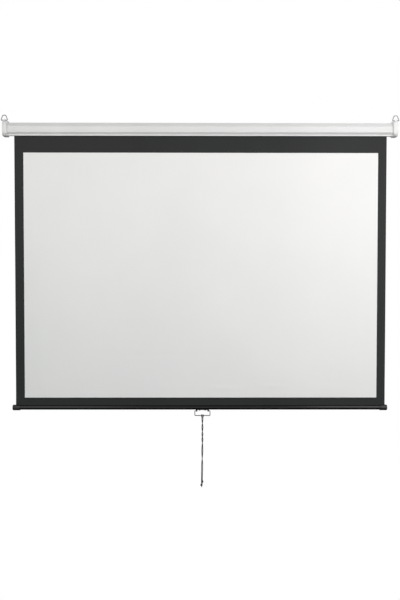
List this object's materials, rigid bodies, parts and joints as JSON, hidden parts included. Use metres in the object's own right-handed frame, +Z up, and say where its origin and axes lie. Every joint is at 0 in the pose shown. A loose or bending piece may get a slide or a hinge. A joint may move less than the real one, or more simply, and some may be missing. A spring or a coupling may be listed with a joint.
{
  "type": "projector screen",
  "caption": "Pull-down projector screen: a spring roller in an octagonal case, black-backed matt white fabric, a round batten with a wire handle and a pull cord, and wire loops to hang it by.",
  "frame": {"origin": "midway between the two points where hooks carry the hanging loops", "axes": "+X to the right of someone who looks at the screen, -Y towards them, +Z up"},
  "size_m": [1.6852, 0.073, 1.5878],
  "materials": {
    "white_enamel": "satin white enamel on steel sheet",
    "white_plastic": "satin white moulding",
    "zinc_wire": "zinc-plated wire",
    "black_fabric": "matt black coated cloth",
    "matt_white": "matt white projection coating",
    "black_enamel": "gloss black enamel on steel tube",
    "black_plastic": "satin black moulding",
    "plain_steel": "plain steel",
    "white_nylon": "natural nylon",
    "black_cord": "black twisted cord"
  },
  "bodies": {
    "case": {"case_shell": "white_enamel", "left_end_cap": "white_plastic", "right_end_cap": "white_plastic", "left_cap_screw_1": "plain_steel", "left_cap_screw_2": "plain_steel", "left_cap_screw_3": "plain_steel", "right_cap_screw_1": "plain_steel", "right_cap_screw_2": "plain_steel", "right_cap_screw_3": "plain_steel", "left_bracket": "plain_steel", "right_bracket": "plain_steel", "spring_arbor": "plain_steel", "spring_anchor": "white_nylon", "ratchet_hub": "plain_steel", "roller_spring": "plain_steel", "fabric_base": "black_fabric", "matt_white_face": "matt_white"},
    "left_loop": {"left_hanging_loop": "zinc_wire"},
    "right_loop": {"right_hanging_loop": "zinc_wire"},
    "roller": {"roller_tube": "plain_steel", "spring_end_plug": "white_nylon", "idler_end_plug": "white_nylon", "idler_pin": "plain_steel", "fabric_wrap": "black_fabric"},
    "upper_pawl_lever": {"upper_pawl": "plain_steel"},
    "lower_pawl_lever": {"lower_pawl": "plain_steel"},
    "batten": {"batten_bar": "black_enamel", "left_batten_cap": "black_plastic", "right_batten_cap": "black_plastic", "hem_rod": "plain_steel", "handle_bracket": "black_enamel", "left_handle_screw": "plain_steel", "right_handle_screw": "plain_steel"},
    "handle": {"pull_handle": "zinc_wire"},
    "pull_cord": {"cord_hitch": "black_cord", "cord_front_strand": "black_cord", "cord_back_strand": "black_cord", "upper_cord_knot": "black_cord", "lower_cord_knot": "black_cord"}
  },
  "joints": [
    {"name": "batten_lift", "type": "slide", "parent": "case", "child": "batten", "axis": [0, 0, 1], "range_m": [0, 1.138], "deforming": ["fabric_base", "matt_white_face"]},
    {"name": "roller_turn", "type": "hinge", "parent": "case", "child": "roller", "pos_m": [0, 0.007, -0.0577], "axis": [-1, 0, 0], "range_deg": [0, 4080]},
    {"name": "upper_pawl_swing", "type": "hinge", "parent": "roller", "child": "upper_pawl_lever", "pos_m": [-0.8152, 0.007, -0.0455], "axis": [1, 0, 0], "range_deg": [0, 25]},
    {"name": "lower_pawl_swing", "type": "hinge", "parent": "roller", "child": "lower_pawl_lever", "pos_m": [-0.8152, 0.007, -0.0699], "axis": [1, 0, 0], "range_deg": [0, 25]},
    {"name": "handle_swing", "type": "hinge", "parent": "batten", "child": "handle", "pos_m": [0.01, -0.0074, -1.2533], "axis": [1, 0, 0], "range_deg": [-90, 90]},
    {"name": "cord_swing", "type": "hinge", "parent": "handle", "child": "pull_cord", "pos_m": [0.01, -0.0074, -1.2735], "axis": [1, 0, 0], "range_deg": [-90, 90]},
    {"name": "left_loop_swing", "type": "hinge", "parent": "case", "child": "left_loop", "pos_m": [-0.8275, 0, -0.0193], "axis": [1, 0, 0], "range_deg": [-90, 90]},
    {"name": "right_loop_swing", "type": "hinge", "parent": "case", "child": "right_loop", "pos_m": [0.8275, 0, -0.0193], "axis": [1, 0, 0], "range_deg": [-90, 90]}
  ],
  "couplings": [
    {"joint": "roller_turn", "follows": "batten_lift", "rad_per_m": 62.5},
    {"joint": "cord_swing", "follows": "handle_swing", "ratio": -1}
  ]
}
